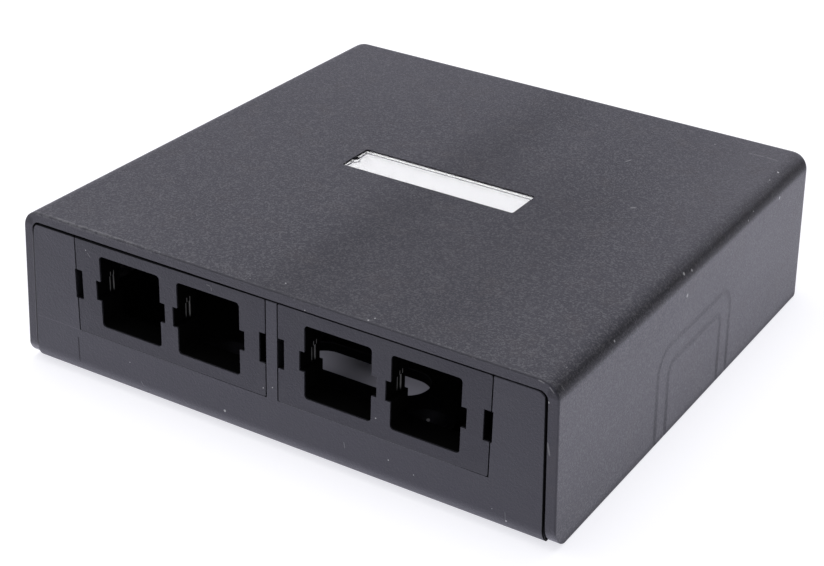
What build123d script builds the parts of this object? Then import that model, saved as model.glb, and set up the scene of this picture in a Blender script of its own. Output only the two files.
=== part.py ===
# Surface mount jack box: a wiring box that screws to a wall or desk and holds four jacks in its front.
# Millimetres. X runs along the front to the right, Y from the front to the back, Z up.
# The origin is at the middle of the underside.
import os

from build123d import *

# Overall form
width = 120.6            # across the feet of the two side walls
depth = 118.8            # front panel to back wall
height = 34.0
side_lean = 0.045        # each side wall leans in by this much for each millimetre of height
wall = 2.1               # cover shell
corner_radius = 3.9      # long top edges, back top edge and back corners
rim_round = 0.35         # edge of the cover round the front panel
seam = 0.3               # between the cover and what stands inside it
cover_foot_gap = 0.15    # the cover stops short of the desk, the base carries the box
cover_foot_radius = 4.8  # lower front and back corners of the cover, seen from the side
cover_foot_round = 0.2   # lower long edges of the cover, seen from the front

# Base
floor_thickness = 2.2
panel_thickness = 2.4
panel_foot_radius = 4.0  # the front panel rolls under into the floor
panel_side_round = 1.2   # lower long edges of the floor plate
panel_corner = 1.9       # upper corners of the front panel
panel_rim_round = 0.2
panel_shift = -0.1       # the panel stands a little left in the cover, so its right seam is wider
rail_thickness = 1.6     # low walls that the cover drops over
rail_height = 8.0
rail_corner = 0.5
rail_gap_spare = 2.0     # rails stop this far outside each knockout

# Port frames
window_width = 14.5
window_height = 15.4
window_bar = 4.05        # between the two windows of a frame
window_corner = 0.8
frame_end = 5.8          # beside the windows
frame_above = 2.6        # over the windows
frame_below = 2.6
frame_divider = 2.9      # between the two frames
frame_side_seam = 0.25
frame_low_seam = 0.1
frame_seat_gap = 0.05
frame_corner = 0.4
notch_depth = 1.1        # recess each side of a window for the latch of a jack
notch_height = 4.2
collar_wall = 1.2        # sleeve behind each window
collar_depth = 6.0       # from the front face to the back of the sleeve
lip_depth = 1.2          # hook at the back of each notch, measured along Y
lip_reach = 0.4
ledge_depth = 1.2        # step behind the panel that the frame seats against
ledge_reach = 1.0

# Latches of the port frames
slot_height = 6.3
slot_inside = 1.35       # part of a latch slot that is cut into the frame
slot_outside = 0.5       # part that is cut into the panel, at the outer end of a frame
arm_thickness = 1.1
arm_height = 5.5
arm_length = 6.4         # from the front face to the tip
barb_length = 1.9
barb_reach = 0.33        # past the end of the frame

# Label pocket in the cover, on the same middle line as the knockouts and the screw
middle_y = -1.4
label_window_length = 40.2
label_window_width = 9.2
label_window_thickness = 1.2
label_window_clearance = 0.15
label_window_sink = 0.35   # top of the clear plate below the top of the cover
label_window_corner = 0.5
label_strip_thickness = 0.2
label_strip_clearance = 0.15
label_gap = 0.05
pry_notch_radius = 0.9
tray_wall = 1.6
tray_floor = 1.5

# Cover screw, its boss in the cover and its post on the base
screw_head_diameter = 6.4
screw_head_height = 2.2
screw_shank_diameter = 3.0
screw_length = 17.0        # under the head
screw_point = 1.2
screw_recess_width = 1.0
screw_recess_length = 3.6
screw_recess_depth = 1.2
screw_seat_gap = 0.05
screw_sink = 2.7           # head seat below the floor of the label pocket
screw_head_clearance = 0.3
screw_hole_clearance = 0.25
screw_bite_clearance = 0.05
boss_wall = 1.5
boss_reach = 13.95         # from the top of the cover to the foot of its boss
post_diameter = 8.0
post_seat_gap = 0.05
rib_thickness = 1.4
rib_spread = 7.0           # how far a rib runs out from the side of the post or boss
rib_rise = 9.0
brace_thickness = 1.5      # ribs of the cover that stand behind the front panel
brace_reach = 3.0

# Knockouts for cables in the side walls of the cover: two arches, one inside the other
knockout_widths = (34.6, 25.0)
knockout_heights = (20.4, 16.2)
knockout_radii = (5.5, 2.8)
score_width = 0.7          # groove inside the wall
score_depth = 1.1
sink_width = 1.7           # shallow valley that the groove leaves on the outside
sink_depth = 0.09

# Floor details
slot_length = 30.0         # cable slot
slot_width = 10.2
slot_setback = 31.6        # from the front face to the middle of the slot
mount_pitch_x = 46.0       # the spacing of a double gang wall box
mount_pitch_y = 83.3
mount_hole = 4.2
mount_sink = 8.2
mount_sink_depth = 1.9
mount_boss = 11.0
mount_boss_height = 5.0
tie_length = 12.0          # bridges for cable ties
tie_width = 3.0
tie_height = 5.2
tie_leg = 2.0
tie_bar = 1.5
tie_side_inset = 16.3      # from the outside of a wall to the middle of a bridge
tie_back_inset = 15.4
tie_back_x = 12.0

# Values that follow
front_y = -depth / 2
back_y = depth / 2
half_width = width / 2
inside = wall + seam
panel_top = height - inside
window_pitch = window_width + window_bar
window_low = panel_top - frame_above - window_height
frame_width = window_pitch + window_width + 2 * frame_end
frame_low = window_low - frame_below
frame_x = (frame_width + frame_divider) / 2
notch_middle = window_low + window_height / 2
plate_thickness = panel_thickness - frame_seat_gap
pocket_length = label_window_length + 2 * label_window_clearance
pocket_width = label_window_width + 2 * label_window_clearance
label_window_low = height - label_window_sink - label_window_thickness
pocket_floor = label_window_low - label_gap - label_strip_thickness
tray_bottom = pocket_floor - tray_floor
screw_seat = pocket_floor - screw_sink
boss_radius = screw_head_diameter / 2 + screw_head_clearance + boss_wall
boss_bottom = height - boss_reach
post_height = boss_bottom - post_seat_gap
tie_side_x = half_width - tie_side_inset
tie_back_y = back_y - tie_back_inset
slot_y = front_y + slot_setback
past = 1.0                 # how far a cutting block runs past the face that it opens
root = 0.2                 # how far a rail is rooted in the floor


def span_box(x0, x1, y0, y1, z0, z1):
    """A block given by its two corners."""
    return Pos((x0 + x1) / 2, (y0 + y1) / 2, (z0 + z1) / 2) * Box(x1 - x0, y1 - y0, z1 - z0)


def housing_section(inset, low, shift=0.0):
    """Front view of the box: straight sides that lean in, brought in by inset."""
    top = height - inset
    half_low = half_width - inset - side_lean * low
    half_top = half_width - inset - side_lean * top
    corners = [(shift - half_low, low), (shift + half_low, low), (shift + half_top, top),
               (shift - half_top, top)]
    return make_face(Polyline(*corners, close=True))


def housing_block(inset, low, front, corner, rim=0.0, shift=0.0):
    """The form of the box with its rounded top and back edges. rim rounds the front edges too."""
    back = back_y - inset
    section = Plane.XZ * housing_section(inset, low, shift)
    block = extrude(Pos(0, back, 0) * section, amount=back - front)
    back_edges = block.faces().sort_by(Axis.Y)[-1].edges().sort_by(Axis.Z)[1:]
    top_edges = block.edges().filter_by(Axis.Y).group_by(Axis.Z)[-1]
    block = fillet(back_edges + top_edges, corner)
    if rim > 0:
        front_edges = block.faces().sort_by(Axis.Y)[0].edges().sort_by(Axis.Z)[1:]
        block = fillet(front_edges, rim)
    return block


def round_feet(block, inset, low, side_round, front_radius, back_radius, shift=0.0):
    """Round the lower long edges as the front view shows them and the lower ends as the side does."""
    front_view = housing_section(inset, low, shift)
    front_view = fillet(front_view.vertices().group_by(Axis.Y)[0], side_round)
    block &= extrude(Plane.XZ * front_view, amount=depth, both=True)
    for end, outward, radius in ((front_y, -1, front_radius), (back_y - inset, 1, back_radius)):
        middle = end - outward * radius
        corner = make_face(Polyline((middle, low - past), (end + outward * past, low - past),
                                    (end + outward * past, low + radius), (middle, low + radius),
                                    close=True))
        corner -= Pos(middle, low + radius) * Circle(radius)
        block -= extrude(Plane.YZ * corner, amount=width, both=True)
    return block


def arch(half, top, radius):
    """Upright outline in the YZ plane with rounded upper corners and its legs below the box."""
    low = -past
    outline = Polyline((middle_y - half, low), (middle_y + half, low),
                       (middle_y + half, top), (middle_y - half, top), close=True)
    face = make_face(outline)
    return Plane.YZ * fillet(face.vertices().group_by(Axis.Y)[-1], radius)


def arch_ring(arch_width, arch_height, radius):
    """A score line of its own width that follows one arch, as a bar through the whole box."""
    half = score_width / 2
    outer = arch(arch_width / 2 + half, arch_height + half, radius + half)
    inner = arch(arch_width / 2 - half, arch_height - half, radius - half)
    return extrude(outer - inner, amount=width, both=True)


def knockout_scores():
    """Deep grooves inside both side walls, one for each arch."""
    band = housing_block(wall - score_depth, -past, front_y, corner_radius - wall + score_depth)
    band -= housing_block(wall + past, -past, front_y - past, corner_radius - wall)
    arches = zip(knockout_widths, knockout_heights, knockout_radii)
    return [arch_ring(*one_arch) & band for one_arch in arches]


def knockout_sinks():
    """Shallow round-bottomed valleys that follow the arches on the outside of both side walls."""
    face = Plane(origin=(half_width, middle_y, 0), x_dir=(0, 1, 0), z_dir=(1, 0, side_lean))
    outward = face.z_dir
    sinks = []
    for arch_width, arch_height, radius in zip(knockout_widths, knockout_heights, knockout_radii):
        half = arch_width / 2
        points = [(-half, -past), (-half, arch_height), (half, arch_height), (half, -past)]
        path = face * FilletPolyline(*points, radius=radius)
        start = Plane(origin=path @ 0, x_dir=outward, z_dir=path % 0)
        lens = make_face([
            ThreePointArc((0, -sink_width / 2), (-sink_depth, 0), (0, sink_width / 2)),
            Polyline((0, sink_width / 2), (seam, sink_width / 2), (seam, -sink_width / 2),
                     (0, -sink_width / 2))])
        bead = sweep(start * lens, path)
        sinks += [bead, mirror(bead, about=Plane.YZ)]
    return sinks


def cross_ribs(radius, low, high, wide_low):
    """Four triangular ribs round an upright boss, wide at the bottom or at the top."""
    reach = radius + rib_spread
    wide, narrow = (low, high) if wide_low else (high, low)
    ribs = []
    for side in (-1, 1):
        points = [(0, wide), (side * reach, wide), (side * radius, narrow), (0, narrow)]
        face = make_face(Polyline(*points, close=True))
        ribs.append(extrude(Plane.XZ * face, amount=rib_thickness / 2, both=True))
        ribs.append(extrude(Plane.YZ * face, amount=rib_thickness / 2, both=True))
    return [Pos(0, middle_y, 0) * rib for rib in ribs]


def make_base():
    """Floor plate and front panel in one piece, with the rails, post, bosses and tie bridges."""
    block = housing_block(inside, 0, front_y, panel_corner, panel_rim_round, panel_shift)
    block = round_feet(block, inside, 0, panel_side_round, panel_foot_radius, panel_side_round,
                       panel_shift)
    room = span_box(-width, width, front_y + panel_thickness, back_y + past, floor_thickness, height)
    room = fillet(room.edges().filter_by(Axis.X).group_by(Axis.Z)[0].sort_by(Axis.Y)[0],
                  panel_foot_radius - panel_thickness)
    base = block - room

    rails = housing_block(inside, 0, front_y + panel_thickness, panel_corner, 0.0, panel_shift)
    rails -= housing_block(inside + rail_thickness, -past, front_y, rail_corner)
    rails &= span_box(-width, width, front_y, back_y, floor_thickness - root, rail_height)
    half_gap = knockout_widths[0] / 2 + rail_gap_spare
    rails -= span_box(-width, width, middle_y - half_gap, middle_y + half_gap, 0, height)
    base += rails

    base += Pos(0, middle_y, floor_thickness) * Cylinder(
        post_diameter / 2, post_height - floor_thickness, align=(Align.CENTER, Align.CENTER, Align.MIN))
    for rib in cross_ribs(post_diameter / 2, floor_thickness, floor_thickness + rib_rise, True):
        base += rib
    bore = screw_shank_diameter / 2 + screw_bite_clearance
    bore_low = screw_seat - screw_length - past
    base -= Pos(0, middle_y, bore_low) * Cylinder(
        bore, height, align=(Align.CENTER, Align.CENTER, Align.MIN))

    cable_slot = Pos(0, slot_y, 0) * SlotOverall(slot_length, slot_width)
    base -= extrude(cable_slot, amount=floor_thickness + past) + extrude(cable_slot, amount=-past)

    for x in (-mount_pitch_x / 2, mount_pitch_x / 2):
        for y in (-mount_pitch_y / 2, mount_pitch_y / 2):
            base += Pos(x, y, floor_thickness) * upright(
                mount_boss / 2, mount_boss_height - floor_thickness)
            base -= Pos(x, y, -past) * upright(mount_hole / 2, mount_boss_height + 2 * past)
            base -= Pos(x, y, mount_boss_height - mount_sink_depth) * Cone(
                mount_hole / 2, mount_sink / 2, mount_sink_depth,
                align=(Align.CENTER, Align.CENTER, Align.MIN))

    bridge = tie_bridge()
    for x in (-tie_side_x, tie_side_x):
        base += Pos(x, middle_y, floor_thickness) * Rot(0, 0, 90) * bridge
    for x in (-tie_back_x, tie_back_x):
        base += Pos(x, tie_back_y, floor_thickness) * bridge

    for side in (-1, 1):
        base += seat_ledge(side)
        base -= frame_opening(side)
        base -= latch_slots(side)
    return base


def upright(radius, tall):
    """A cylinder that stands on its own origin."""
    return Cylinder(radius, tall, align=(Align.CENTER, Align.CENTER, Align.MIN))


def tie_bridge():
    """A low bridge that a cable tie passes under."""
    block = span_box(-tie_length / 2, tie_length / 2, -tie_width / 2, tie_width / 2, 0,
                     tie_height - floor_thickness)
    upper = block.faces().sort_by(Axis.Z)[-1].edges()
    block = fillet(upper.filter_by(Axis.Y), tie_bar / 2)
    reach = tie_length / 2 - tie_leg
    return block - span_box(-reach, reach, -tie_width, tie_width, 0,
                            tie_height - floor_thickness - tie_bar)


def frame_opening(side):
    """The notch, open at the top, that one port frame fills."""
    half = frame_width / 2 + frame_side_seam
    x = side * frame_x
    return span_box(x - half, x + half, front_y - past, front_y + panel_thickness,
                    frame_low - frame_low_seam, height)


def seat_ledge(side):
    """Step behind the notch, at its ends and its bottom, that stops the port frame."""
    half = frame_width / 2 + frame_side_seam
    low = frame_low - frame_low_seam
    x = side * frame_x
    near = front_y + panel_thickness
    outer = span_box(x - half - ledge_reach, x + half + ledge_reach, near, near + ledge_depth,
                     low - ledge_reach, panel_top)
    room = span_box(x - half + ledge_reach, x + half - ledge_reach, near - past,
                    near + ledge_depth + past, low + ledge_reach, height)
    return outer - room


def latch_slots(side):
    """The part of the latch slots that is cut into the panel and its ledge."""
    half = frame_width / 2 + frame_side_seam
    low = notch_middle - slot_height / 2
    high = notch_middle + slot_height / 2
    back = front_y + panel_thickness + ledge_depth + past
    x = side * frame_x
    outer_edge = x + side * half
    divider_edge = x - side * half
    outer_ends = sorted((outer_edge + side * (slot_outside - frame_side_seam),
                         outer_edge - side * (ledge_reach + past)))
    divider_ends = sorted((divider_edge, divider_edge + side * (ledge_reach + past)))
    outer = span_box(*outer_ends, front_y - past, back, low, high)
    inner = span_box(*divider_ends, front_y - past, back, low, high)
    return outer + inner


def make_cover():
    """The drafted shell, open in front and below, with the label tray, screw boss and knockouts."""
    outer = housing_block(0, cover_foot_gap, front_y, corner_radius, rim_round)
    outer = round_feet(outer, 0, cover_foot_gap, cover_foot_round, cover_foot_radius,
                       cover_foot_radius)
    hollow = housing_block(wall, cover_foot_gap - past, front_y - past, corner_radius - wall)
    cover = outer - hollow
    for groove in knockout_scores() + knockout_sinks():
        cover -= groove

    tray_x = pocket_length / 2 + tray_wall
    tray_y = pocket_width / 2 + tray_wall
    cover += span_box(-tray_x, tray_x, middle_y - tray_y, middle_y + tray_y, tray_bottom,
                      height - wall / 2)
    cover += Pos(0, middle_y, boss_bottom) * upright(boss_radius, height - wall / 2 - boss_bottom)
    for rib in cross_ribs(boss_radius, height - wall - rib_rise, height - wall, False):
        cover += rib
    for x in (-1, 1):
        cover += panel_brace(x)

    pocket = span_box(-pocket_length / 2, pocket_length / 2, middle_y - pocket_width / 2,
                      middle_y + pocket_width / 2, pocket_floor, height + past)
    pocket = fillet(pocket.edges().filter_by(Axis.Z), label_window_corner)
    cover -= pocket
    cover -= Pos(0, middle_y, screw_seat) * upright(
        screw_head_diameter / 2 + screw_head_clearance, height)
    cover -= Pos(0, middle_y, boss_bottom - past) * upright(
        screw_shank_diameter / 2 + screw_hole_clearance, height)
    return cover


def panel_brace(side):
    """Rib down the inside of a side wall that stands behind the front panel."""
    near = front_y + panel_thickness + seam
    rib = housing_block(wall / 2, rail_height + seam, front_y, corner_radius - wall / 2)
    rib -= housing_block(wall + brace_reach, 0, front_y - past, corner_radius - wall)
    lean = side_lean * height
    ends = sorted((side * (half_width - wall - lean - brace_reach), side * width))
    return rib & span_box(*ends, near, near + brace_thickness, 0, height - wall / 2)


def make_port_frame(side):
    """Plate with two jack windows, a sleeve behind each, and one sprung latch at its outer end."""
    x = side * frame_x
    half = frame_width / 2
    back = front_y + plate_thickness
    plate = span_box(x - half, x + half, front_y, back, frame_low, panel_top)
    plate = fillet(plate.edges().filter_by(Axis.Y), frame_corner)
    slot_low = notch_middle - slot_height / 2
    slot_high = notch_middle + slot_height / 2
    for end in (-1, 1):
        ends = sorted((x + end * (half - slot_inside), x + end * (half + past)))
        plate -= span_box(*ends, front_y - past, back + past, slot_low, slot_high)
    frame = plate
    for place in (-1, 1):
        frame += window_sleeve(x + place * window_pitch / 2)
    for place in (-1, 1):
        frame -= window_hole(x + place * window_pitch / 2)
    return frame + latch_arm(x + side * half, side)


def window_sleeve(x):
    """Solid sleeve block behind one window."""
    half = window_width / 2 + notch_depth + collar_wall
    return span_box(x - half, x + half, front_y + plate_thickness / 2, front_y + collar_depth,
                    window_low - collar_wall, window_low + window_height + collar_wall)


def window_hole(x):
    """Opening of one window with its side notches, which end in a hook at the back."""
    half = window_width / 2
    hole = span_box(x - half, x + half, front_y - past, front_y + collar_depth + past,
                    window_low, window_low + window_height)
    hole = fillet(hole.edges().filter_by(Axis.Y), window_corner)
    low = notch_middle - notch_height / 2
    high = notch_middle + notch_height / 2
    wide = half + notch_depth
    hook = front_y + collar_depth - lip_depth
    hole += span_box(x - wide, x + wide, front_y - past, hook, low, high)
    hole += span_box(x - wide + lip_reach, x + wide - lip_reach, front_y, front_y + collar_depth + past,
                     low, high)
    return hole


def latch_arm(edge, side):
    """Sprung arm behind the outer latch slot, with a barb that enters the recess of the slot."""
    near = front_y + plate_thickness / 2
    tip = front_y + arm_length
    face = edge - side * slot_inside
    root = face - side * arm_thickness
    barb = edge + side * barb_reach
    points = [(root, near), (face, near), (face, tip - barb_length), (barb, tip - barb_length),
              (barb, tip - barb_length / 2), (face, tip), (root, tip)]
    outline = make_face(Polyline(*points, close=True))
    low = notch_middle - arm_height / 2
    arm = Pos(0, 0, low) * extrude(outline, amount=arm_height, dir=(0, 0, 1))
    return arm


def label_outline(clearance):
    """Outline of the label, with the half-round pry notch in its left end."""
    half_x = label_window_length / 2 - clearance
    half_y = label_window_width / 2 - clearance
    outline = Rectangle(2 * half_x, 2 * half_y)
    outline = fillet(outline.vertices(), label_window_corner)
    notch = Pos(-label_window_length / 2, 0) * Circle(pry_notch_radius + clearance)
    return Pos(0, middle_y) * (outline - notch)


def make_label_window():
    """Clear plate that lies over the label strip."""
    plate = extrude(label_outline(0.0), amount=label_window_thickness)
    return Pos(0, 0, label_window_low) * plate


def make_label_strip():
    """Plain paper strip that lies on the floor of the pocket."""
    strip = extrude(label_outline(label_strip_clearance), amount=label_strip_thickness)
    return Pos(0, 0, pocket_floor) * strip


def make_cover_screw():
    """Pan head screw with a cross recess."""
    shank = screw_shank_diameter / 2
    head = screw_head_diameter / 2
    seat = screw_seat + screw_seat_gap
    tip = seat - screw_length
    crown = head - screw_head_height / 2
    outline = Polyline((0, tip), (shank / 2, tip), (shank, tip + screw_point), (shank, seat),
                       (head, seat), (head, seat + screw_head_height / 2),
                       (crown, seat + screw_head_height), (0, seat + screw_head_height), close=True)
    screw = revolve(Plane.XZ * make_face(outline), Axis.Z)
    top = seat + screw_head_height
    for long_x, long_y in ((screw_recess_length, screw_recess_width),
                           (screw_recess_width, screw_recess_length)):
        screw -= span_box(-long_x / 2, long_x / 2, -long_y / 2, long_y / 2,
                          top - screw_recess_depth, top + past)
    return Pos(0, middle_y, 0) * screw


nodes = {
    "base": make_base(),
    "cover": make_cover(),
    "port_frame_left": make_port_frame(-1),
    "port_frame_right": make_port_frame(1),
    "label_window": make_label_window(),
    "label_strip": make_label_strip(),
    "cover_screw": make_cover_screw(),
}

os.makedirs("parts", exist_ok=True)
for name, solid in nodes.items():
    export_step(solid, f"parts/{name}.step")
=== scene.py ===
# %% [markdown]
# The object is a low square box for network sockets. It is moulded from charcoal plastic in two main
# halves: a base with the front panel standing on it, and a cover that drops over the base. The solids
# come with their real size and place. A script could add forms of its own, but here every form is in the
# solids already, so this one only gives them their finish, a camera and light. The box of the bare solids
# is noted at once.

# %% Load the solids
import math

import bpy
from mathutils import Matrix, Vector


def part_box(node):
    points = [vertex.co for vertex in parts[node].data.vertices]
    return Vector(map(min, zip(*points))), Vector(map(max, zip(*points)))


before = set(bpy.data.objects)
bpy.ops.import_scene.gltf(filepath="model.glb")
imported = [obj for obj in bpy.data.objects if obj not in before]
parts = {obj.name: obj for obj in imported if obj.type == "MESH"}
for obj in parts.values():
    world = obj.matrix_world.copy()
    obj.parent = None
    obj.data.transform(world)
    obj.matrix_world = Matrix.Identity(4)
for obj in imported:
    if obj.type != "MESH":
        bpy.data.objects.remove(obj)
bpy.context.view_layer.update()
print("solids:", sorted(parts))

# %% [markdown]
# Every place on the box is worked out from the boxes of its solids. The front is at the lowest Y of the
# cover, the top at its highest Z. Blender counts in metres, so one millimetre is written once and used as
# a unit.

# %% Measure the box
MM = 0.001
base_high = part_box("base")[1]
frame_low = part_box("port_frame_left")[0]
cover_low, cover_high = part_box("cover")
front_y = cover_low.y
back_y = cover_high.y
top_z = cover_high.z
half_width = cover_high.x
print("half width", round(half_width / MM, 2), "depth", round((back_y - front_y) / MM, 2),
      "height", round(top_z / MM, 2))

# %% [markdown]
# The camera stands right of the box and above it, at about arm's length. Three angles turn it: how far
# it stands to the right, how far it looks down, and a small roll. A long focal length keeps the edges
# nearly parallel, and a small shift puts the box where the photograph has it.

# %% Set up the camera
IMAGE_WIDTH = 824
IMAGE_HEIGHT = 566
SENSOR = 36.0
focal_pixels = 1785.7
centre_x = 472.4
centre_y = 295.8
turn = math.radians(28.773)
tilt = math.radians(28.268)
roll = math.radians(2.83)
camera_place = Vector((167.8, -289.64, 186.78)) * MM


def camera_axes(turn, tilt, roll):
    """The camera's right, up and backward directions."""
    back = Vector((math.sin(turn) * math.cos(tilt), -math.cos(turn) * math.cos(tilt), math.sin(tilt)))
    right = Vector((math.cos(turn), math.sin(turn), 0.0))
    up = back.cross(right)
    rolled_right = math.cos(roll) * right + math.sin(roll) * up
    rolled_up = -math.sin(roll) * right + math.cos(roll) * up
    return rolled_right, rolled_up, back


camera_data = bpy.data.cameras.new("camera")
camera_data.sensor_width = SENSOR
camera_data.lens = focal_pixels * SENSOR / IMAGE_WIDTH
camera_data.shift_x = (IMAGE_WIDTH / 2 - centre_x) / IMAGE_WIDTH
camera_data.shift_y = (centre_y - IMAGE_HEIGHT / 2) / IMAGE_WIDTH
camera_data.clip_start = 0.01
camera = bpy.data.objects.new("camera", camera_data)
axes = camera_axes(turn, tilt, roll)
camera.matrix_world = Matrix.Translation(camera_place) @ Matrix(axes).transposed().to_4x4()
bpy.context.scene.collection.objects.link(camera)
bpy.context.scene.camera = camera
print("lens", round(camera_data.lens, 2), "mm, shift", round(camera_data.shift_x, 4),
      round(camera_data.shift_y, 4))

# %% [markdown]
# A finish in Blender is a tree of small nodes. Written out one by one they are hard to read, so small
# classes stand in for them. The first is a Wire, which holds one output of a node and does arithmetic:
# adding two wires places a Math node. Sums of plain numbers are left to Python, which costs no nodes.

# %% Wires with arithmetic


class Wire:
    """One output of a node, which can be added, multiplied and compared like a number."""

    def __init__(self, finish, socket):
        self.finish = finish
        self.socket = socket

    def math(self, operation, first, second=None):
        values = {"Value": first}
        if second is not None:
            values["Value_001"] = second
        return self.finish.node("ShaderNodeMath", {"operation": operation}, values)

    def __add__(self, other):
        return self.math("ADD", self, other)

    def __sub__(self, other):
        return self.math("SUBTRACT", self, other)

    def __rsub__(self, other):
        return self.math("SUBTRACT", other, self)

    def __mul__(self, other):
        return self.math("MULTIPLY", self, other)

    def __pow__(self, other):
        return self.math("POWER", self, other)

    def __abs__(self):
        return self.math("ABSOLUTE", self)

    __radd__ = __add__
    __rmul__ = __mul__

    def high(self, other):
        return self.math("MAXIMUM", self, other)

    def low(self, other):
        return self.math("MINIMUM", self, other)


def strongest(wires):
    """The highest of several wires at each point."""
    result = wires[0]
    for wire in wires[1:]:
        result = result.high(wire)
    return result


print("wires can be added, multiplied and compared")

# %% [markdown]
# The second class holds a whole node tree. Its node method places any node: the settings come first,
# because they decide which sockets the node has, then the values and wires. The other methods are short
# names for what this box needs most, which are noise, a soft step, a blend of two colours and a bump.

# %% Node trees


class Nodes:
    """A node tree with short ways to place the nodes used here."""

    def __init__(self, tree):
        self.tree = tree
        self.tree.nodes.clear()

    def node(self, kind, settings=None, values=None, output=0):
        """Place a node: its settings first, then a value or a wire for each named socket."""
        new = self.tree.nodes.new(kind)
        for name, setting in (settings or {}).items():
            setattr(new, name, setting)
        for name, value in (values or {}).items():
            socket = self.socket(new.inputs, name)
            if isinstance(value, Wire):
                self.tree.links.new(value.socket, socket)
            else:
                socket.default_value = value
        return Wire(self, self.socket(new.outputs, output))

    def socket(self, sockets, name):
        if isinstance(name, int):
            return sockets[name]
        for socket in sockets:
            if socket.identifier == name:
                return socket
        return sockets[name]

    def place(self):
        """A point on the surface, in metres, fixed to the part."""
        return self.node("ShaderNodeTexCoord", output="Object")

    def axis(self, place, letter):
        return self.node("ShaderNodeSeparateXYZ", values={"Vector": place}, output=letter)

    def noise(self, place, size, detail=2.0, rough=0.5):
        """Cloudy noise from 0 to 1 whose blobs are about size metres wide."""
        return self.node("ShaderNodeTexNoise", values={
            "Vector": place, "Scale": 1.0 / size, "Detail": detail, "Roughness": rough}, output="Fac")

    def step(self, wire, start, end):
        """0 below start and 1 past end, with a soft rise between."""
        return self.node("ShaderNodeMapRange", {"interpolation_type": "SMOOTHSTEP"}, {
            "Value": wire, "From Min": start, "From Max": end}, output="Result")

    def mix(self, factor, first, second):
        """One colour turning into another."""
        return self.node("ShaderNodeMix", {"data_type": "RGBA"}, {
            "Factor_Float": factor, "A_Color": first, "B_Color": second}, output="Result_Color")

    def vector(self, operation, first, second=None, output="Vector"):
        """One sum on vectors."""
        values = {"Vector": first}
        if second is not None:
            values["Vector_001"] = second
        return self.node("ShaderNodeVectorMath", {"operation": operation}, values, output=output)

    def cells(self, place, size, output):
        """Uneven cells about size metres wide: the distance to their middles or a colour for each."""
        return self.node("ShaderNodeTexVoronoi", values={
            "Vector": place, "Scale": 1.0 / size, "Randomness": 1.0}, output=output)

    def bump(self, height, distance, strength):
        return self.node("ShaderNodeBump", values={
            "Height": height, "Distance": distance, "Strength": strength})

    def ray(self, name):
        """1 for rays of that kind and 0 for the others."""
        return self.node("ShaderNodeLightPath", output=name)


print("node trees are ready")

# %% [markdown]
# The third class is one finish, which is a material with its tree. Its surface is one plastic, metal or
# paper. Where dark plastic lies deep in a gap, next to no light reaches it and the photograph shows it
# black. The white world alone would leave it too light, so a mask can blend in a dull black there as
# painted shade. The same mask paints shade on some open faces too.

# %% Finishes
BLACK = (0, 0, 0, 1)
# dull black for painted shade
PAINTED_SHADE_BLACK = (0.002, 0.002, 0.002, 1)


class Finish(Nodes):
    """One material: its node tree and the surface at the end of it."""

    def __init__(self, name):
        self.material = bpy.data.materials.new(name)
        self.material.use_nodes = True
        super().__init__(self.material.node_tree)

    def surface(self, values, painted_shade=None):
        """The plastic, metal or paper and the output. The last argument is 1 where a dull black is blended
        in as painted shade.
        """
        shader = self.node("ShaderNodeBsdfPrincipled", values=values)
        if painted_shade is not None:
            # painted shade: a dull black blended in where the mask is 1
            black = self.node("ShaderNodeBsdfDiffuse", values={"Color": PAINTED_SHADE_BLACK})
            shader = self.node("ShaderNodeMixShader", values={0: painted_shade, 1: shader, 2: black})
        end = self.tree.nodes.new("ShaderNodeOutputMaterial")
        self.tree.links.new(shader.socket, end.inputs["Surface"])

    def give(self, *names):
        """Put this finish on parts by name."""
        for name in names:
            slots = parts[name].data.materials
            slots.clear()
            slots.append(self.material)
        print("finish", self.material.name, "on", ", ".join(names))


print("deep gaps are", PAINTED_SHADE_BLACK[:3])

# %% [markdown]
# The box was photographed in a white light tent: white below, behind and above. Its dark plastic shows
# little colour of its own. Its greys are mostly the white room, mirrored in a blurred way, so what the
# reflections see matters more than the lamps. The floor is a plain wide square that takes the shadow.

# %% The floor
FLOOR_SIZE = 6.0


def flat_sheet(name, width, height):
    """A flat sheet around the origin."""
    mesh = bpy.data.meshes.new(name)
    corners = [(x * width / 2, y * height / 2, 0) for x, y in ((-1, -1), (1, -1), (1, 1), (-1, 1))]
    mesh.from_pydata(corners, [], [(0, 1, 2, 3)])
    sheet = bpy.data.objects.new(name, mesh)
    bpy.context.scene.collection.objects.link(sheet)
    return sheet


floor = flat_sheet("floor", FLOOR_SIZE, FLOOR_SIZE)
print("floor", FLOOR_SIZE, "m wide")

# %% [markdown]
# The floor also glows a little, which keeps it white without strong lamps. Rays that look at it see an
# even glow. Mirrored rays see a bright pool around the box, with a painted shadow in a strip close to the
# right side, where the box stands in the way of the light. The patch under the box hardly glows, a painted
# shadow. It shows through the cable slot, darkest along a middle line and with a little painted light
# towards the front.

# %% The glow of the floor
SEEN_GLOW = (0.70, 0.70, 0.74, 1)
MIRRORED_NEAR = (1.38, 1.36, 1.58, 1)
MIRRORED_FAR = (0.35, 0.35, 0.40, 1)
POOL_START = 0.10
POOL_END = 0.40
SHADE_WIDTH = 26 * MM
SHADE_DEPTH = 0.38
UNDER_MARGIN = 3 * MM
# painted shadow under the box, and painted light on it behind the cable slot
UNDER_PAINTED_SHADOW = (0.004, 0.004, 0.006, 1)
UNDER_PAINTED_LIGHT = (0.075, 0.074, 0.090, 1)
SLOT_MIDDLE = -2.5 * MM
SLOT_FADE = 12 * MM
SLOT_FRONT = (-28 * MM, -23 * MM)

floor_finish = Finish("floor_white")
place = floor_finish.place()
across = floor_finish.axis(place, "X")
along = floor_finish.axis(place, "Y")
open_floor = floor_finish.step(abs(across), half_width - 2 * UNDER_MARGIN, half_width - UNDER_MARGIN).high(
    floor_finish.step(abs(along), back_y - 2 * UNDER_MARGIN, back_y - UNDER_MARGIN))

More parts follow.
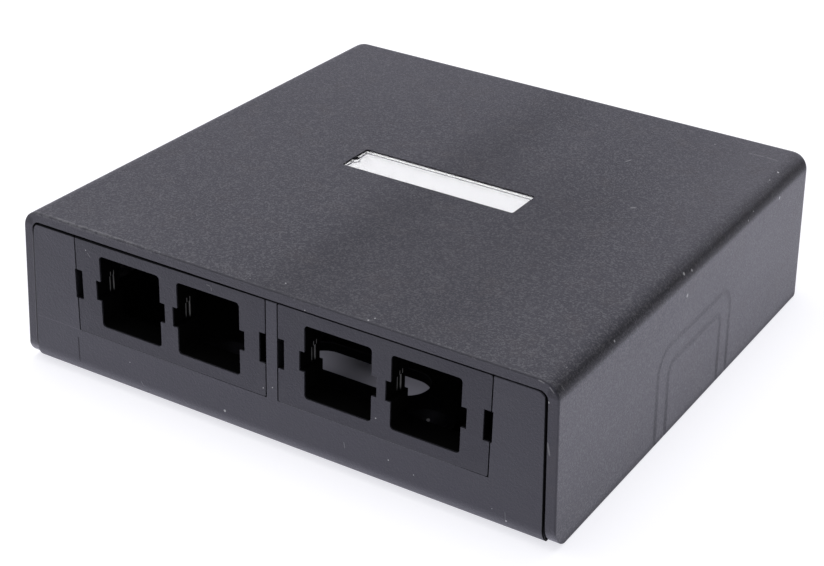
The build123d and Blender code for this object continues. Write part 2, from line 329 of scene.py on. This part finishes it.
far = floor_finish.vector("LENGTH", place, output="Value")
pool = floor_finish.mix(floor_finish.step(far, POOL_START, POOL_END), MIRRORED_NEAR, MIRRORED_FAR)
# painted shadow in the mirrored glow, in a strip close to the right side
right_of_box = across - half_width
shade = (1 - floor_finish.step(right_of_box, 0.0, SHADE_WIDTH)) * floor_finish.step(
    right_of_box, -1 * MM, 0.0)
pool = floor_finish.mix(shade * SHADE_DEPTH, pool, BLACK)

# painted light and shade on the patch under the box, seen through the cable slot
beside = floor_finish.step(abs(across - SLOT_MIDDLE), 0.0, SLOT_FADE)
forward = 1 - floor_finish.step(along, *SLOT_FRONT)
under = floor_finish.mix(beside * 0.75 + forward * 0.25, UNDER_PAINTED_SHADOW, UNDER_PAINTED_LIGHT)

seen = floor_finish.ray("Is Camera Ray").high(floor_finish.ray("Is Transmission Ray"))
glow = floor_finish.mix(
    floor_finish.ray("Is Glossy Ray"), floor_finish.mix(seen, BLACK, SEEN_GLOW), pool)
floor_finish.surface({
    "Base Color": (0.38, 0.38, 0.38, 1), "Roughness": 0.9, "Specular IOR Level": 0.0,
    "Emission Color": floor_finish.mix(open_floor, under, glow), "Emission Strength": 1.0})
floor.data.materials.append(floor_finish.material)
print("glow seen", SEEN_GLOW[:3], "and mirrored", MIRRORED_NEAR[:3])

# %% [markdown]
# The rest of the tent is the world. It could be a picture of a real tent, but plain tones are easier to
# tune. It is pure white where it is looked at, a little bluish where it is mirrored, and grey as a light.

# %% The white tent
WORLD_LIGHT = (0.60, 0.60, 0.60, 1)
WORLD_MIRRORED = (0.66, 0.65, 0.76, 1)
WHITE = (1, 1, 1, 1)

world = bpy.data.worlds.new("white_tent")
bpy.context.scene.world = world
world.use_nodes = True
sky = Nodes(world.node_tree)
seen = sky.ray("Is Camera Ray").high(sky.ray("Is Transmission Ray"))
tent = sky.mix(seen, sky.mix(sky.ray("Is Glossy Ray"), WORLD_LIGHT, WORLD_MIRRORED), WHITE)
background = sky.node("ShaderNodeBackground", values={"Color": tent, "Strength": 1.0})
end = sky.tree.nodes.new("ShaderNodeOutputWorld")
sky.tree.links.new(background.socket, end.inputs["Surface"])
print("white world, mirrored as", WORLD_MIRRORED[:3])

# %% [markdown]
# One wide lamp hangs over the box and a smaller one stands at the left. They are large for their distance,
# so the shadow fades within a few centimetres. The rounded edge between top and side is the darkest line
# of the box: it mirrors a black flag that stood at the right behind it, and painted shade darkens it more.
# The flag is put there too.

# %% Lamps and black flag


def soft_lamp(name, place, aim, size, power):
    """A square lamp that points at aim. Power is in watts."""
    lamp_data = bpy.data.lights.new(name, "AREA")
    lamp_data.size = size
    lamp_data.energy = power
    lamp = bpy.data.objects.new(name, lamp_data)
    lamp.location = place
    lamp.rotation_euler = (Vector(aim) - Vector(place)).to_track_quat("-Z", "Y").to_euler()
    bpy.context.scene.collection.objects.link(lamp)


soft_lamp("lamp_over", (-0.1, 0.1, 1.2), (0, 0, 0), 1.1, 8.6)
soft_lamp("lamp_left", (-1.0, -0.3, 0.7), (0, 0, 0), 0.8, 3.0)

FLAG_WIDTH = 1.10
FLAG_HEIGHT = 0.72
flag = flat_sheet("black_flag", FLAG_WIDTH, FLAG_HEIGHT)
flag.location = (0.74, 0.66, 0.34)
flag.rotation_euler = flag.location.to_track_quat("Z", "Y").to_euler()
cloth = Finish("black_cloth")
cloth.surface({"Base Color": (0.003, 0.003, 0.003, 1), "Roughness": 1.0, "Specular IOR Level": 0.0})
flag.data.materials.append(cloth.material)
print("two lamps and a flag", FLAG_WIDTH, "m wide")

# %% [markdown]
# The photograph shows specks of white dust and short hair scratches. They could be painted on a picture,
# but a picture needs an unwrapped surface. Here a speck is a small ball around a point, and a scratch is a
# thin ball stretched along a line. Both are measured on the part itself, so they stay on it when it moves.
# Fainter dust is scattered over the cells of an uneven grid.

# %% Specks, scratches and dust


def specks_at(finish, place, spots):
    """1 inside any of the small balls, given as x, y, z and width in millimetres."""
    specks = []
    for x, y, z, width in spots:
        gap = finish.vector("DISTANCE", place, (x * MM, y * MM, z * MM), output="Value")
        specks.append(1 - finish.step(gap, width * 0.3 * MM, width * 0.6 * MM))
    return strongest(specks)


def scratches_at(finish, place, lines):
    """1 along short lines, each from one point to another with a width, in millimetres."""
    scratches = []
    for start, end, width in lines:
        start, end = Vector(start) * MM, Vector(end) * MM
        reach = (end - start).length / 2
        gap = finish.vector("SUBTRACT", place, (start + end) / 2)
        run = finish.vector("DOT_PRODUCT", gap, (end - start).normalized(), output="Value")
        size = finish.vector("LENGTH", gap, output="Value")
        beside = (size * size - run * run).high(0.0) ** 0.5
        scratches.append((1 - finish.step(beside, width * 0.3 * MM, width * 0.8 * MM)) * (
            1 - finish.step(abs(run), reach * 0.6, reach)))
    return strongest(scratches)


def scattered_dust(finish, place, spacing, size, share):
    """1 on small round specks, on a share of the cells of a grid of that spacing."""
    near = finish.cells(place, spacing, "Distance")
    lots = finish.axis(finish.cells(place, spacing, "Color"), "X")
    chosen = finish.step(lots, 1 - share, 1 - share + 0.01)
    return (1 - finish.step(near, size / spacing * 0.5, size / spacing)) * chosen


print("marks can be placed")

# %% [markdown]
# These are the marks, read off the photograph one by one and given in millimetres. Each latch wall inside
# a window catches the light in four thin upright lines, and one mounting boss shows a small bright point.
# Such fine edges don't catch the light by themselves here, so these glints are painted highlights, placed
# like scratches.

# %% Places of the marks
FRONT = front_y / MM
TOP = top_z / MM
PANEL_SPECKS = [(-11.1, FRONT, 4.5, 0.55), (22.8, FRONT, 14.8, 0.30), (25.7, FRONT, 6.9, 0.30),
                (0.1, FRONT, 13.5, 0.27), (-2.0, FRONT, 12.7, 0.27), (31.1, FRONT, 5.7, 0.20),
                (47.4, FRONT, 4.7, 0.17), (50.3, FRONT, 3.1, 0.45), (-43.5, FRONT, 29.3, 0.24),
                (-34.0, FRONT, 7.6, 0.19)]
PANEL_SCRATCHES = [((-43.2, FRONT, 29.0), (-42.4, FRONT, 27.9), 0.16),
                   ((-14.7, FRONT, 30.7), (-13.6, FRONT, 30.5), 0.16),
                   ((-13.6, FRONT, 30.5), (-13.4, FRONT, 29.6), 0.16),
                   ((-31.5, FRONT, 4.3), (-30.6, FRONT, 2.9), 0.16),
                   ((16.0, FRONT, 7.4), (16.3, FRONT, 5.9), 0.18),
                   ((50.0, FRONT, 5.2), (50.2, FRONT, 3.0), 0.12)]
WINDOW_LEFT = [-40.3, -21.7, 7.2, 25.8]
# painted highlights on each latch wall, as aside, deep, high, low and width
GLINTS = [(-1.1, 4.0, 24.3, 18.9, 0.26), (-0.9, 4.8, 24.3, 18.9, 0.30),
          (0.0, 3.0, 24.5, 22.9, 0.22), (0.0, 3.9, 24.5, 22.9, 0.22)]
LATCH_GLINTS = [((left + aside, FRONT + deep, high), (left + aside, FRONT + deep, low), width)
                for left in WINDOW_LEFT for aside, deep, high, low, width in GLINTS]
# a painted highlight on one mounting boss
BOSS_GLINT = [(22.0, -39.3, 3.6, 0.8)]
COVER_SPECKS = [(58.2, -7.5, 32.4, 0.72), (58.5, -4.4, 31.9, 0.6), (59.1, -6.7, 27.6, 0.85),
                (56.5, 44.5, 33.7, 0.5), (56.5, 39.7, 33.7, 0.28), (58.9, 40.4, 30.0, 0.75),
                (58.4, 26.7, 32.1, 0.34), (58.7, 23.4, 31.4, 0.42), (39.7, 49.8, TOP, 0.28),
                (0.7, -55.8, TOP, 0.34), (7.4, FRONT, 32.1, 0.24), (20.5, -58.8, TOP, 0.36),
                (21.1, -57.6, TOP, 0.3), (56.7, -52.9, 33.6, 0.18), (58.4, -37.7, 32.1, 0.5),
                (56.9, FRONT, 30.0, 0.45)]
COVER_SCRATCHES = [((27.6, 29.8, TOP), (28.4, 31.6, TOP), 0.22),
                   ((38.4, 9.6, TOP), (39.5, 10.8, TOP), 0.22),
                   ((56.8, FRONT, 33.1), (57.9, FRONT, 32.0), 0.20),
                   ((57.9, -57.3, 32.7), (58.6, -57.0, 31.6), 0.20),
                   ((54.6, FRONT, 33.7), (56.0, FRONT, 33.4), 0.22),
                   ((57.2, FRONT, 22.4), (57.9, FRONT, 19.4), 0.30),
                   ((47.5, 49.6, TOP), (51.4, 49.9, TOP), 0.14),
                   ((51.4, 49.9, TOP), (54.5, 49.5, TOP), 0.14)]
print(len(PANEL_SPECKS) + len(COVER_SPECKS), "specks,",
      len(PANEL_SCRATCHES) + len(COVER_SCRATCHES), "scratches,", len(LATCH_GLINTS), "glints")

# %% [markdown]
# The front face has three small zones of its own. Its lower edge rolls under into the floor of the base
# and is still outer face there, with painted shade on its lowest part. Painted shade darkens its upper edge
# next to the rim of the cover, more at the left, and its right edge, which leans in with the side walls.
# A thin upright line below the left port frame is a witness mark, where two blocks of the mould met.

# %% Zones of the front face
FOOT_ROUND = 4.0 * MM
SIDE_LEAN = 0.045
PANEL_TOP = top_z - 2.4 * MM
PANEL_RIGHT = base_high.x
WITNESS_X = -46.9 * MM


def rolled_foot(finish, along, upward):
    """1 on the round where the front face turns under into the floor."""
    foot_y = along - (front_y + FOOT_ROUND)
    foot_z = upward - FOOT_ROUND
    from_middle = (foot_y.low(0.0) ** 2 + foot_z.low(0.0) ** 2) ** 0.5
    on_round = finish.step(from_middle, FOOT_ROUND - 0.25 * MM, FOOT_ROUND - 0.1 * MM)
    return on_round * (1 - finish.step(foot_z, -0.1 * MM, 0.0))


def rim_shade(finish, across, upward):
    """1 on the upper and the right edge of the panel, next to the rim of the cover, where shade is painted.
    """
    left_half = 1 - finish.step(across, -40 * MM, 10 * MM)
    upper = finish.step(upward + left_half * 0.35 * MM, PANEL_TOP - 0.05 * MM, PANEL_TOP + 0.05 * MM)
    right = finish.step(across + upward * SIDE_LEAN, PANEL_RIGHT - 0.22 * MM, PANEL_RIGHT - 0.12 * MM)
    return upper.high(right)


def witness_mark(finish, across, upward):
    """1 on the upright line below the left port frame."""
    on_line = 1 - finish.step(abs(across - WITNESS_X), 0.08 * MM, 0.22 * MM)
    return on_line * finish.step(upward, 3.0 * MM, 4.5 * MM) * (
        1 - finish.step(upward, 8.8 * MM, 9.4 * MM))


print("witness mark at", round(WITNESS_X / MM, 1), "mm")

# %% [markdown]
# Below the port frames runs a seam that nearly closes in the photograph, except where the two frames meet
# and at the far right. The solids keep an even gap, which any light box would show as a dark line. The
# ledge inside the gap gets a faint glow where the real seam is closed, which costs no change of shape.

# %% The seam below the port frames
SEAM_GLOW = (0.055, 0.055, 0.062, 1)
FRAME_SEAM = 0.1 * MM


def closed_seam(finish, across, along, upward):
    """1 on the ledge below the frames, where the seam looks closed."""
    closed = (1 - finish.step(across, -24 * MM, -10 * MM)) * 0.6 + finish.step(across, 0.0, 3 * MM) * (
        1 - finish.step(across, 38 * MM, 43 * MM)) * 0.85
    ledge = 1 - finish.step(abs(upward - (frame_low.z - FRAME_SEAM)), 0.03 * MM, 0.06 * MM)
    return ledge * closed * (1 - finish.step(along, front_y + 0.3 * MM, front_y + 0.5 * MM))


print("seam at", round((frame_low.z - FRAME_SEAM) / MM, 2), "mm above the desk")

# %% [markdown]
# The base and the port frames are satin mouldings of black plastic. Seen close, they are not one flat tone:
# there is a faint cloud of gloss, a fine grain from the tool with pale flecks, a few hair scratches and
# dust. Behind the front face a dull black is blended in as painted shade, because next to no light reaches
# it there. Base and frames share one recipe, with a little less gloss and deeper painted shade for the
# frames.

# %% Satin plastic of the panel and the port frames
PANEL_BLACK = (0.022, 0.022, 0.027, 1)
FRAME_BLACK = (0.015, 0.015, 0.019, 1)
PANEL_WORN = (0.045, 0.045, 0.050, 1)
PANEL_FLECK = (0.12, 0.12, 0.13, 1)
# pale colour of dust and scratches, also used for the painted glints
DUST_AND_GLINT = (0.62, 0.62, 0.64, 1)
DUST_COVER = 0.8
MIRROR_TINT = (0.90, 0.89, 1.0, 1)
SKIN = 0.25 * MM


def satin_plastic(name, tone, gloss, deep):
    finish = Finish(name)
    place = finish.place()
    across, along, upward = (finish.axis(place, letter) for letter in "XYZ")
    cloud = finish.noise(place, 9 * MM, 3.0)
    grain = finish.noise(place, 0.42 * MM, 2.0)
    fine = finish.noise(place, 0.2 * MM, 1.0)

    foot = rolled_foot(finish, along, upward)
    behind = finish.step(along, front_y + SKIN, front_y + 2 * SKIN) * (1 - foot)
    on_face = 1 - behind
    dust = specks_at(finish, place, PANEL_SPECKS).high(
        scattered_dust(finish, place, 4 * MM, 0.14 * MM, 0.12) * 0.5)
    # painted highlights: the glints on the latch walls and on one boss
    painted_latch_glints = scratches_at(finish, place, LATCH_GLINTS)
    painted_boss_glint = specks_at(finish, place, BOSS_GLINT)

    colour = finish.mix(finish.step(cloud, 0.45, 0.75) * 0.3, tone, PANEL_WORN)
    colour = finish.mix(finish.step(fine, 0.45, 0.75) * 0.12, colour, PANEL_FLECK)
    colour = finish.mix(scratches_at(finish, place, PANEL_SCRATCHES) * 0.16, colour, DUST_AND_GLINT)
    colour = finish.mix(dust * on_face * DUST_COVER, colour, DUST_AND_GLINT)
    # the painted glints, in the pale colour
    colour = finish.mix((painted_latch_glints * 0.42).high(painted_boss_glint), colour, DUST_AND_GLINT)

    # painted shade behind the front face, stronger near the floor of the base; deep sets its strength
    underside_shade = 1 - finish.step(upward, 1.9 * MM, 2.1 * MM)
    painted_inner_shade = behind * (1 - painted_latch_glints.high(painted_boss_glint)) * (underside_shade * 0.4 + deep).low(1.0)
    witness = witness_mark(finish, across, upward) * on_face
    shade = rim_shade(finish, across, upward) * on_face
    # painted shade on the lowest part of the rolled foot
    foot_shade = foot * (1 - finish.step(upward, 0.0, 3.2 * MM))
    finish.surface({
        "Base Color": colour, "Roughness": 0.40 + cloud * 0.12, "Specular IOR Level": gloss,
        "Specular Tint": MIRROR_TINT, "Normal": finish.bump(grain + fine * 0.5, 0.09 * MM, 0.9),
        "Emission Color": finish.mix(closed_seam(finish, across, along, upward), BLACK, SEAM_GLOW),
        "Emission Strength": 1.0},
        painted_shade=strongest([painted_inner_shade, witness * 0.5, shade * 0.92, foot_shade * 0.6]))
    return finish


# the last number is the strength of the painted shade behind the front face
satin_plastic("satin_black", PANEL_BLACK, 0.42, 0.5).give("base")
satin_plastic("satin_frame", FRAME_BLACK, 0.34, 0.96).give("port_frame_left", "port_frame_right")

# %% [markdown]
# Each side of the cover carries a knockout for a cable, two arches scored into the wall. The scores are
# valleys in the solids, but so shallow that soft light hardly shows them, so painted shade darkens them a
# little.
# The distance from a rounded arch is that of a box with round corners, which takes a few Math nodes.

# %% Valleys of the knockouts
KNOCKOUTS = [(17.3 * MM, 20.4 * MM, 5.5 * MM), (12.5 * MM, 16.2 * MM, 2.8 * MM)]
KNOCKOUT_MIDDLE = -1.4 * MM


def knockout_valleys(finish, along, upward):
    """1 in the valleys that follow the two arches, each given by half width, top and corner."""
    valleys = []
    for half, top, radius in KNOCKOUTS:
        past_side = abs(along - KNOCKOUT_MIDDLE) - (half - radius)
        past_top = upward - (top - radius)
        corner = (past_side.high(0.0) ** 2 + past_top.high(0.0) ** 2) ** 0.5
        gap = abs(corner + past_side.high(past_top).low(0.0) - radius)
        valleys.append(1 - finish.step(gap, 0.1 * MM, 1.3 * MM))
    return strongest(valleys)


print(len(KNOCKOUTS), "arches on each side")

# %% [markdown]
# The cover has a spark texture, the fine pebbled face that the tool leaves on purpose to hide scratches.
# It is rougher than the panel, so it takes on more of the white room where the view grazes it. Its colour
# is nearly black, lightened by painted light at the left, the back and the right and by a random cloud,
# with cloudy brown and pale grit. The rim round the panel is smooth and has no grit.

# %% Colour of the cover
COVER_BLACK = (0.006, 0.006, 0.007, 1)
# the tone where painted light and the cloud are strongest
COVER_LIT_AND_CLOUDY = (0.052, 0.050, 0.057, 1)
COVER_BROWN = (0.022, 0.018, 0.016, 1)
COVER_WORN = (0.13, 0.13, 0.135, 1)

cover_finish = Finish("textured_black")
place = cover_finish.place()
across, along, upward = (cover_finish.axis(place, letter) for letter in "XYZ")
cloud = cover_finish.noise(place, 16 * MM, 3.0)
brown = cover_finish.noise(place, 7 * MM, 4.0, 0.6)
grit = cover_finish.axis(cover_finish.cells(place, 0.28 * MM, "Color"), "X")
rim = 1 - cover_finish.step(along, front_y + 0.10 * MM, front_y + 0.35 * MM)

# painted light: lighter at the left, the back and the right, plus a random cloud
painted_light_left = 1 - cover_finish.step(across, -50 * MM, 10 * MM)
painted_light_back = cover_finish.step(along, 10 * MM, 60 * MM)
painted_light_right = cover_finish.step(across, 24 * MM, 58 * MM) * cover_finish.step(along, -45 * MM, 40 * MM)
painted_light_and_cloud = 0.02 + painted_light_left * 0.22 + painted_light_back * 0.16 + painted_light_right * 0.55 + (cloud - 0.5) * 0.4
tone = cover_finish.mix(painted_light_and_cloud.high(0.0).low(1.0), COVER_BLACK, COVER_LIT_AND_CLOUDY)
tone = cover_finish.mix(cover_finish.step(brown, 0.50, 0.72) * 0.5, tone, COVER_BROWN)
tone = cover_finish.mix(cover_finish.step(grit, 0.45, 1.0) * (1 - rim) * 0.45, tone, COVER_WORN)
print("cover colour from", COVER_BLACK[:3], "to", COVER_LIT_AND_CLOUDY[:3])

# %% [markdown]
# The wear is laid over that colour. The front edge of the top is rubbed pale at the left. A rubbed edge
# isn't an even line, so a fine noise decides where the pale plastic shows. The scratches and specks of
# the list above and a little scattered dust come last, because they lie on top of everything else.

# %% Wear and dust on the cover
rubbed = cover_finish.noise(place, 0.9 * MM, 4.0, 0.7)
front_edge = (1 - cover_finish.step(abs(along - front_y - 0.2 * MM), 0.25 * MM, 0.6 * MM)) * (
    cover_finish.step(upward, top_z - 0.9 * MM, top_z - 0.3 * MM))
worn_left = 1 - cover_finish.step(across, -38 * MM, -6 * MM)
scuff = front_edge * cover_finish.step(rubbed + worn_left * 0.14, 0.58, 0.68)
tone = cover_finish.mix(front_edge * 0.07 + scuff * 0.55, tone, COVER_WORN)
tone = cover_finish.mix(scratches_at(cover_finish, place, COVER_SCRATCHES) * 0.28, tone, DUST_AND_GLINT)
dust = specks_at(cover_finish, place, COVER_SPECKS).high(
    scattered_dust(cover_finish, place, 5 * MM, 0.15 * MM, 0.15) * 0.5)
tone = cover_finish.mix(dust * DUST_COVER, tone, DUST_AND_GLINT)
print(len(COVER_SCRATCHES), "scratches and", len(COVER_SPECKS), "specks on the cover")

# %% [markdown]
# Some areas of the cover mirror less of the white room, so a little dull black is blended in as painted
# shade: a streak in front of the label, a calm patch at its right, the band along the bend of the long top
# edges, the rim, the foot of the side walls and the valleys of the knockouts. The inner wall at the left of
# the panel gets the same faint glow as the seam below the frames, because that seam hardly shows either.

# %% Painted shade and the left seam
STREAK_X = 2 * MM
STREAK_WIDTH = 13 * MM
INNER_WALL = 58.2 * MM

streak = (1 - cover_finish.step(abs(across - STREAK_X + (cloud - 0.5) * 8 * MM), 0.0, STREAK_WIDTH)) * (
    1 - cover_finish.step(along, 0.0, 60 * MM) * 0.5)
calm = cover_finish.step(across, 4 * MM, 14 * MM) * (1 - cover_finish.step(across, 30 * MM, 46 * MM)) * (
    1 - cover_finish.step(along, 0.0, 30 * MM))
bend = cover_finish.step(upward, top_z - 3.7 * MM, top_z - 2.6 * MM) * (
    1 - cover_finish.step(upward, top_z - 1.7 * MM, top_z - 0.8 * MM)) * cover_finish.step(
    abs(across), half_width - 4 * MM, half_width - 3.5 * MM)
low = 1 - cover_finish.step(upward, 0.0, 18 * MM)
# painted shade in the valleys, stronger towards the bottom
valleys = knockout_valleys(cover_finish, along, upward) * (low * 0.17 + 0.10)
sill = (1 - cover_finish.step(upward, 0.2 * MM, 2.2 * MM)) * cover_finish.step(
    abs(across), half_width - 3 * MM, half_width - 2 * MM)
# painted shade on the streak, the calm patch, the bend, the rim, the valleys and the sill
cover_painted_shade = strongest([streak * 0.18 + calm * 0.11, bend * 0.36, rim * 0.17, valleys, sill * 0.30])

wall_place = upward * SIDE_LEAN - across
left_seam = cover_finish.step(wall_place, INNER_WALL - 0.3 * MM, INNER_WALL - 0.1 * MM) * (
    1 - cover_finish.step(wall_place, INNER_WALL + 0.02 * MM, INNER_WALL + 0.16 * MM)) * (
    1 - cover_finish.step(along, front_y + 0.6 * MM, front_y + 1.0 * MM)) * (
    1 - cover_finish.step(upward, top_z - 6 * MM, top_z - 4 * MM))
print("streak", round(2 * STREAK_WIDTH / MM), "mm wide, inner wall at", round(INNER_WALL / MM, 1), "mm")

# %% [markdown]
# The pebbled face itself is fine grain over cells of different height. Real pebbles of this size would
# take millions of faces, so they are a bump, while every form that shows an outline is in the solids.

# %% Textured plastic of the cover
pebbles = cover_finish.noise(place, 0.50 * MM, 2.0, 0.5)
fine = cover_finish.noise(place, 0.24 * MM, 1.0)
cover_finish.surface({
    "Base Color": tone, "Roughness": 0.44 + cloud * 0.08, "Specular IOR Level": 0.68,
    "Specular Tint": MIRROR_TINT,
    "Normal": cover_finish.bump(pebbles * 0.3 + fine * 0.4 + grit * 0.9, 0.16 * MM, 1.0),
    "Emission Color": cover_finish.mix(left_seam, BLACK, SEAM_GLOW), "Emission Strength": 1.0},
    painted_shade=cover_painted_shade)
cover_finish.give("cover")

# %% [markdown]
# The label is plain white paper under a clear plate. The plate is polished, so it is only glossy and
# clear, with a little haze. It bends light less than real acrylic would, because the paper under it then
# stays white up to its back edge, as in the photograph. The screw head under the label is bright zinc.

# %% Paper label, clear plate and screw
paper = Finish("white_paper")
fibres = paper.noise(paper.place(), 0.3 * MM, 4.0)
paper.surface({"Base Color": paper.mix(fibres * 0.3, (0.98, 0.98, 0.985, 1), (0.92, 0.92, 0.93, 1)),
               "Roughness": 0.8, "Normal": paper.bump(fibres, 0.01 * MM, 0.4)})
paper.give("label_strip")

clear = Finish("clear_plate")
haze = clear.noise(clear.place(), 2.5 * MM, 3.0)
clear.surface({"Base Color": (0.98, 0.98, 0.985, 1), "Roughness": haze * 0.12 + 0.02,
               "IOR": 1.36, "Transmission Weight": 1.0, "Coat Weight": 0.3, "Coat Roughness": 0.05})
clear.give("label_window")

steel = Finish("screw_zinc")
brushed = steel.noise(steel.place(), 0.4 * MM, 3.0)
steel.surface({"Base Color": steel.mix(brushed, (0.5, 0.5, 0.5, 1), (0.62, 0.62, 0.6, 1)),
               "Metallic": 1.0, "Roughness": 0.3 + brushed * 0.2,
               "Normal": steel.bump(brushed, 0.01 * MM, 0.4)})
steel.give("cover_screw")

# %% [markdown]
# Nothing in this script changes the size of the part. The picture uses the plain Standard view transform.

# %% Standard view transform
render_settings = bpy.context.scene.view_settings
render_settings.view_transform = "Standard"
